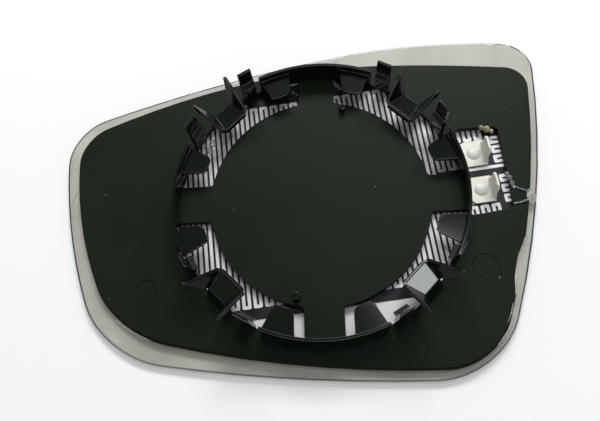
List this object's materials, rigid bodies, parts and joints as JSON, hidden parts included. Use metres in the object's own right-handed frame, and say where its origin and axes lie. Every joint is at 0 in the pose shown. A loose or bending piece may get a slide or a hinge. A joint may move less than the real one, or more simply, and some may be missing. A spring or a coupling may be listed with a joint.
{
  "type": "heated car door mirror glass",
  "caption": "Wing-shaped heated mirror pane, seen from behind: black moulded backing plate with a round snap ring of hooks and seats, printed heater and two blade terminals in a window",
  "frame": {"origin": "centre of the round clip ring, on the mirror face of the pane", "axes": "+X along the pane to its wide end, +Y to its top edge, +Z out of the back, away from the mirror face"},
  "size_m": [0.1776, 0.1269, 0.0202],
  "materials": {
    "coated_glass": "taupe paint on the back, mirror coating below, polished edge",
    "carrier_film": "smooth dark film",
    "silver_track": "printed silver, satin",
    "white_adhesive": "soft white foam sheet",
    "black_plastic": "moulded, semi-matt, a little glossy on the clips",
    "tinned_metal": "tinned sheet, dull cream",
    "rivet_metal": "tinned, satin",
    "yellow_glue": "hardened glue, glossy",
    "clear_glue": "clear hardened glue, glossy"
  },
  "bodies": {
    "root": {"mirror_glass": "coated_glass", "heater_film": "carrier_film", "heater_track": "silver_track", "adhesive_sheet": "white_adhesive", "backing_plate": "black_plastic", "terminal_upper": "tinned_metal", "terminal_lower": "tinned_metal", "rivet_upper": "rivet_metal", "rivet_lower": "rivet_metal", "glue_lump": "yellow_glue", "glue_threads": "clear_glue", "glue_smear": "clear_glue"}
  },
  "joints": []
}
